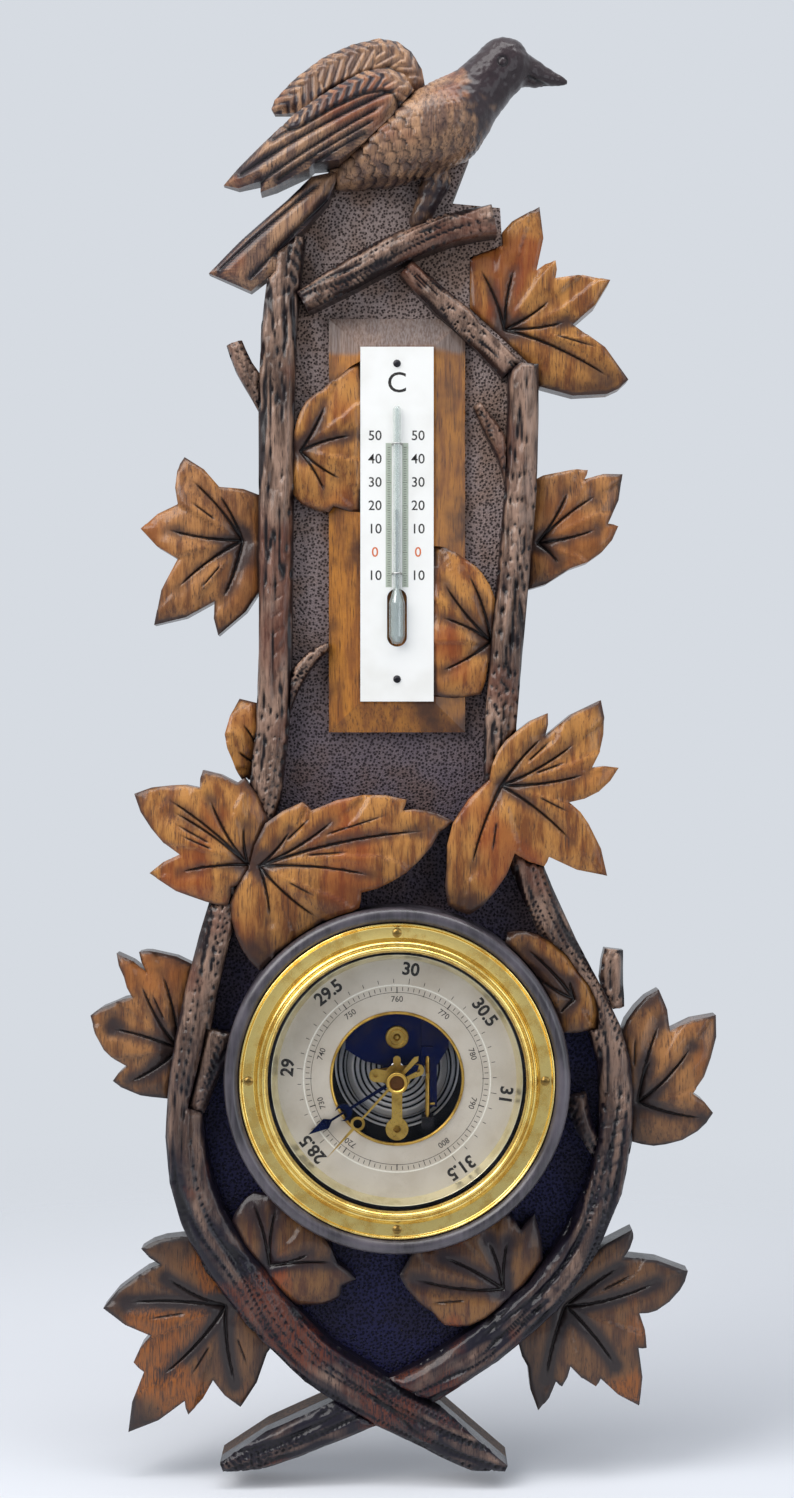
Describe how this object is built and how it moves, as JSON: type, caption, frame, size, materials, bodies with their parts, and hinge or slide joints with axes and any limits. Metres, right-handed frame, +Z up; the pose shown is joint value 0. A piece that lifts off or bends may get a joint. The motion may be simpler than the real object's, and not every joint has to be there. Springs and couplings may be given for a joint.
{
  "type": "aneroid wall barometer",
  "caption": "Carved wooden wall barometer with leaves, branches and a bird, a round aneroid dial under glass and a glass thermometer; hangs by a keyhole.",
  "frame": {"origin": "centre of the hanger plate's keyhole, in the wall plane behind the top of the board", "axes": "+Z up, +X to the right of someone who faces the dial, -Y out of the wall towards them"},
  "size_m": [0.2675, 0.0417, 0.6116],
  "materials": {
    "wood_board": "dark stained wood with a stippled ground",
    "wood_branch": "dark stained and polished wood carved as bark",
    "wood_leaf": "stained and polished wood, warm brown where it stands out",
    "wood_bird": "dark stained and polished wood carved as feathers",
    "wood_panel": "stained and polished wood",
    "wood_turned": "dark stained and polished turned wood",
    "opal_glass": "white opal glass with printed black numbers",
    "clear_glass": "clear glass",
    "mercury": "liquid mercury",
    "steel_small": "plain steel",
    "brass": "polished and lacquered brass",
    "steel_plate": "darkened steel",
    "tinned": "tinned nickel silver",
    "blued_steel": "blued steel",
    "silvered": "silvered brass with black filled figures"
  },
  "bodies": {
    "case": {"backboard": "wood_board", "left_branch_upper": "wood_branch", "left_branch_lower": "wood_branch", "right_branch_upper": "wood_branch", "right_branch_lower": "wood_branch", "perch_branch": "wood_branch", "top_right_branch": "wood_branch", "twigs": "wood_branch", "leaf_top_right": "wood_leaf", "leaf_left_upper": "wood_leaf", "leaf_right_upper": "wood_leaf", "leaf_left_bud": "wood_leaf", "leaf_left_mid": "wood_leaf", "leaf_centre_left": "wood_leaf", "leaf_right_mid": "wood_leaf", "leaf_left_lower": "wood_leaf", "leaf_right_lower": "wood_leaf", "leaf_left_bottom": "wood_leaf", "leaf_right_bottom": "wood_leaf", "leaf_thermo_left": "wood_leaf", "leaf_thermo_right": "wood_leaf", "leaf_dial_upper_right": "wood_leaf", "leaf_dial_lower_left": "wood_leaf", "leaf_dial_lower_right": "wood_leaf", "bird_body": "wood_bird", "bird_near_wing": "wood_bird", "bird_far_wing": "wood_bird", "bird_tail": "wood_bird", "thermometer_panel": "wood_panel", "wood_ring": "wood_turned", "thermometer_plate": "opal_glass", "thermometer_tube": "clear_glass", "dial_glass": "clear_glass", "thermometer_mercury": "mercury", "hanger_screws": "steel_small", "tube_staples": "steel_small", "plate_pins": "steel_small", "hairspring": "steel_small", "chain": "steel_small", "hanger_plate": "brass", "bezel": "brass", "bezel_screws": "brass", "glass_spacer": "brass", "dial_rim": "brass", "dial_pillars": "brass", "case_drum": "brass", "arbor_cock": "brass", "capsule_base": "brass", "base_plate": "steel_plate", "spring_bridge": "steel_plate", "dial": "silvered"},
    "hand": {"hand_arbor": "steel_small", "indicating_hand": "blued_steel"},
    "set_hand": {"set_hand": "brass", "set_knob": "brass"},
    "rocker": {"rocking_shaft": "brass"},
    "spring": {"mainspring": "blued_steel", "spring_stud": "brass"},
    "capsule": {"capsule_lid": "tinned"},
    "adjuster": {"adjusting_screw": "steel_small"}
  },
  "joints": [
    {"name": "hand_turn", "type": "hinge", "parent": "case", "child": "hand", "pos_m": [0, -0.0291, -0.338], "axis": [0, 1, 0], "range_deg": [-50, 284], "stiffness_Nm_per_rad": 0.002, "deforming": ["hairspring", "chain"]},
    {"name": "set_hand_turn", "type": "hinge", "parent": "case", "child": "set_hand", "pos_m": [0, -0.0319, -0.338], "axis": [0, 1, 0], "continuous": true},
    {"name": "rocker_turn", "type": "hinge", "parent": "case", "child": "rocker", "pos_m": [0.013, -0.0182, -0.338], "axis": [0, 0, 1], "range_deg": [-6.1, 34.2]},
    {"name": "spring_flex", "type": "hinge", "parent": "case", "child": "spring", "pos_m": [0, -0.0164, -0.308], "axis": [1, 0, 0], "range_deg": [-0.33, 1.85]},
    {"name": "capsule_press", "type": "slide", "parent": "case", "child": "capsule", "axis": [0, 1, 0], "range_m": [-0.00016, 0.00087]},
    {"name": "adjuster_turn", "type": "hinge", "parent": "case", "child": "adjuster", "pos_m": [-0.03, -0.005, -0.308], "axis": [0, 1, 0], "range_deg": [-360, 360]}
  ],
  "couplings": [
    {"joint": "rocker_turn", "follows": "hand_turn", "ratio": 0.12},
    {"joint": "spring_flex", "follows": "hand_turn", "ratio": 0.00635},
    {"joint": "capsule_press", "follows": "hand_turn", "m_per_rad": 0.0001715}
  ]
}
